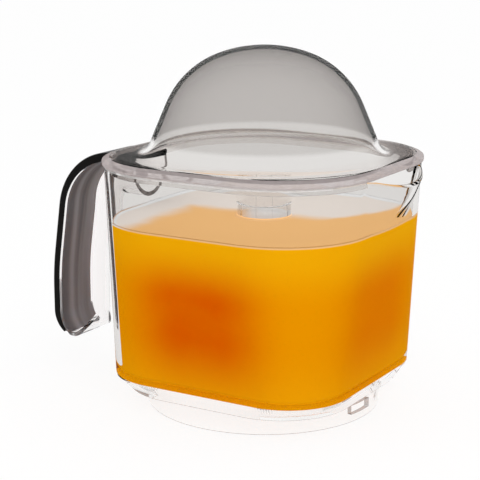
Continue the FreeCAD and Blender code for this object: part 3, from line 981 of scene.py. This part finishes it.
def dome_profile(inset):
    """The dome's section as (radius, z) from just beside the apex down to its spread foot."""
    apex_z = COVER_TOP_Z + DOME_HEIGHT
    cap = math.radians(CAP_ANGLE)
    end = math.radians(90 - FLANK_ANGLE)
    cap_z = apex_z - CAP_RADIUS
    shoulder_r = (CAP_RADIUS - DOME_SHOULDER_RADIUS) * math.sin(cap)
    shoulder_z = cap_z + (CAP_RADIUS - DOME_SHOULDER_RADIUS) * math.cos(cap)
    profile = []
    for share in steps(14)[1:]:
        angle = cap * share
        size = CAP_RADIUS - inset
        profile.append((size * math.sin(angle), cap_z + size * math.cos(angle)))
    for share in steps(22)[1:]:
        angle = mix(cap, end, share)
        size = DOME_SHOULDER_RADIUS - inset
        profile.append((shoulder_r + size * math.sin(angle), shoulder_z + size * math.cos(angle)))
    flank = Vector((profile[-1][0], 0, profile[-1][1]))
    low_z = COVER_TOP_Z - inset
    foot = Vector((flank.x + (flank.z - low_z) * math.tan(math.radians(FLANK_ANGLE)), 0, low_z))
    beyond = foot + Vector((20, 0, 0))
    arc = arc_between(flank, foot, beyond, DOME_FOOT_RADIUS + inset, 14)
    for share in steps(8)[1:-1]:
        point = flank.lerp(arc[0], share)
        profile.append((point.x, point.z))
    profile += [(point.x, point.z) for point in arc]
    return profile


def cover_rings():
    rings = [round_ring(radius, z) for radius, z in dome_profile(0)]
    border_half = COVER_HALF - COVER_BORDER
    border_corner = COVER_CORNER - COVER_BORDER
    soft = COVER_EDGE_ROUND
    rings += [
        square_ring(border_half - BORDER_IN, border_corner - BORDER_IN, COVER_TOP_Z),
        square_ring(border_half + BORDER_OUT, border_corner + BORDER_OUT, COVER_TOP_Z - BORDER_DROP),
        square_ring(COVER_HALF - soft, COVER_CORNER - soft, COVER_EDGE_Z + COVER_EDGE_CROWN),
        square_ring(COVER_HALF - soft * 0.3, COVER_CORNER - soft * 0.3, COVER_EDGE_Z - soft * 0.35),
        square_ring(COVER_HALF, COVER_CORNER, COVER_EDGE_Z - soft),
        square_ring(COVER_HALF, COVER_CORNER, COVER_LOW_Z + soft * 0.7),
        square_ring(COVER_HALF - soft * 0.2, COVER_CORNER, COVER_LOW_Z + soft * 0.2),
        square_ring(COVER_HALF - soft * 0.7, COVER_CORNER, COVER_LOW_Z),
        square_ring(RIB_OUTER_HALF, RIB_OUTER_CORNER, COVER_LOW_Z),
    ]
    rib_inner_half = RIB_OUTER_HALF - RIB_WALL
    rib_inner_corner = RIB_OUTER_CORNER - RIB_WALL
    rib_outer_half = RIB_OUTER_HALF - RIB_DRAFT
    for half, corner in ((rib_outer_half, RIB_OUTER_CORNER), (rib_inner_half, rib_inner_corner)):
        ring = []
        for x, y, z in square_ring(half, corner, RIB_Z):
            beside = min(max((abs(y) - RIB_GAP_HALF) / RIB_RAMP, 0), 1) if x > 0 else 1
            ring.append((x, y, mix(COVER_LOW_Z, z, beside)))
        rings.append(ring)
    under_z = COVER_TOP_Z - COVER_WALL
    rings.append(square_ring(rib_inner_half, rib_inner_corner, under_z))
    rings += [round_ring(radius, z) for radius, z in reversed(dome_profile(COVER_WALL))]
    return rings


def smoke_shades(material):
    """Deepens the smoke tint at the dome's rim, partly for the longer way through the smoke and partly as a
    painted dark reflection, paints shade on the flange's ends as a painted dark reflection, and leaves the
    foot clear as a painted highlight.
    """
    nodes, links = material.node_tree.nodes, material.node_tree.links
    number, ranged, blended = shade_maths(nodes, links)
    x, y, z = place_on_piece(nodes, links)
    long_way = number("ADD", number("MULTIPLY", x, LONG_WAY_X), number("MULTIPLY", y, LONG_WAY_Y))
    # The dome darkens where it turns away: partly the longer way through the smoke, partly a painted dark
    # reflection.
    facing = nodes.new("ShaderNodeLayerWeight")
    rim = number("POWER", facing.outputs["Facing"], RIM_FALL_OFF)
    dome = blended(rim, DOME_FILM, DOME_RIM_FILM)
    # The foot between flange and dome gets a clearer film, a painted highlight along its fillet.
    on_dome = ranged(z, *DOME_STEP)
    foot = blended(on_dome, FOOT_HIGHLIGHT_FILM, dome)
    # Painted shade: the flange's two far ends, along the long way, get a darker film, a painted dark
    # reflection.
    painted_end_shade = ranged(number("ABSOLUTE", long_way), *FLANGE_END_BAND)
    flange = blended(painted_end_shade, FLANGE_FILM, FLANGE_END_SHADE_FILM)
    film = blended(ranged(z, *FLANGE_STEP), flange, foot)
    links.new(film, nodes["Principled BSDF"].inputs["Base Color"])
    half_film = nodes.new("ShaderNodeGamma")
    half_film.inputs["Gamma"].default_value = 0.5
    links.new(film, half_film.inputs["Color"])
    links.new(half_film.outputs["Color"], nodes["Refraction BSDF"].inputs["Color"])
    links.new(number("MULTIPLY", on_dome, DOME_EDGE_LOSS), nodes["Edge Share"].inputs["To Max"])
    return material


smoked_plastic = smoke_shades(clear_plastic(
    "smoked_plastic", film=DOME_FILM[:3], bend=1.25, gloss=0.12, edge_light=1.0,
    roughness=0.02, waviness=0.05))
cover = loft("cover_dome", cover_rings())
cover.data.materials.append(smoked_plastic)
# The flange's edge is laid in mauve grey, partly its own dullness and partly painted shade for the band a
# smoked edge shows.
cover.data.materials.append(matt_plastic(
    "cover_edge", dark=(0.33, 0.285, 0.28), light=(0.46, 0.40, 0.395), clearness=0.3))
dome_rows = len(dome_profile(0))
for number, face in enumerate(cover.data.polygons):
    if number // POINTS_ROUND - dome_rows in DULL_EDGE_ROWS:
        face.material_index = 1
sharp_creases(cover, 50)
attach(cover, "cover")
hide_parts("dust_cover")

# Floor, light and camera: a plain white table top under an even white studio sky.
# The camera stands in front and to the right, a little above the rim, with a long lens.
CAMERA_PLACE = (0.35340, -0.61467, 0.24447)
CAMERA_AIM = (-0.500074, 0.836596, -0.223682)
CAMERA_ANGLE = 18.851
FLOOR_SHADOW_SHARE = 0.12
TABLE_HALF, TABLE_DROP = 4000.0, 0.3


def seen_directly(nodes, links):
    """1 for rays that show the background itself: straight, mirrored or through clear plastic."""
    path = nodes.new("ShaderNodeLightPath")
    number, _, _ = shade_maths(nodes, links)
    unbent = number("MAXIMUM", path.outputs["Is Camera Ray"], path.outputs["Is Glossy Ray"])
    return number("MAXIMUM", unbent, path.outputs["Is Transmission Ray"])


def table_top():
    material, nodes, links, lit = new_material("table_white")
    number, _, _ = shade_maths(nodes, links)
    lit.inputs["Base Color"].default_value = (0.9, 0.9, 0.9, 1.0)
    lit.inputs["Roughness"].default_value = 0.9
    lit.inputs["Specular IOR Level"].default_value = 0.0
    white = nodes.new("ShaderNodeEmission")
    share = number("MULTIPLY", seen_directly(nodes, links), 1 - FLOOR_SHADOW_SHARE)
    both = nodes.new("ShaderNodeMixShader")
    links.new(share, both.inputs["Fac"])
    links.new(lit.outputs["BSDF"], both.inputs[1])
    links.new(white.outputs["Emission"], both.inputs[2])
    links.new(both.outputs["Shader"], nodes["Material Output"].inputs["Surface"])
    return material


def white_sky():
    world = bpy.data.worlds.new("white_sky")
    world.use_nodes = True
    sky = world.node_tree.nodes["Background"]
    sky.inputs["Color"].default_value = (1.0, 1.0, 1.0, 1.0)
    sky.inputs["Strength"].default_value = 1.0
    bpy.context.scene.world = world


def soft_lamp(name, place, aim, width, height, power):
    light = bpy.data.lights.new(name, "AREA")
    light.shape = "RECTANGLE"
    light.size = width
    light.size_y = height
    light.energy = power
    lamp = bpy.data.objects.new(name, light)
    lamp.location = place
    lamp.rotation_euler = (Vector(aim) - Vector(place)).to_track_quat("-Z", "Y").to_euler()
    lamp.visible_glossy = False
    lamp.visible_transmission = False
    bpy.context.scene.collection.objects.link(lamp)


corner_signs = ((-1, -1), (1, -1), (1, 1), (-1, 1))
table_corners = [(x * TABLE_HALF, y * TABLE_HALF, -TABLE_DROP) for x, y in corner_signs]
table = mesh_object("table", table_corners, [(0, 1, 2, 3)])
table.data.materials.append(table_top())
white_sky()
soft_lamp("key_lamp", place=(0.6, -0.7, 0.9), aim=(0, 0, 0.08), width=0.8, height=0.8, power=4.0)
lens = bpy.data.cameras.new("camera")
lens.angle = math.radians(CAMERA_ANGLE)
camera = bpy.data.objects.new("camera", lens)
camera.location = CAMERA_PLACE
camera.rotation_euler = Vector(CAMERA_AIM).to_track_quat("-Z", "Y").to_euler()
bpy.context.scene.collection.objects.link(camera)
bpy.context.scene.camera = camera
bpy.context.scene.view_settings.view_transform = "Standard"
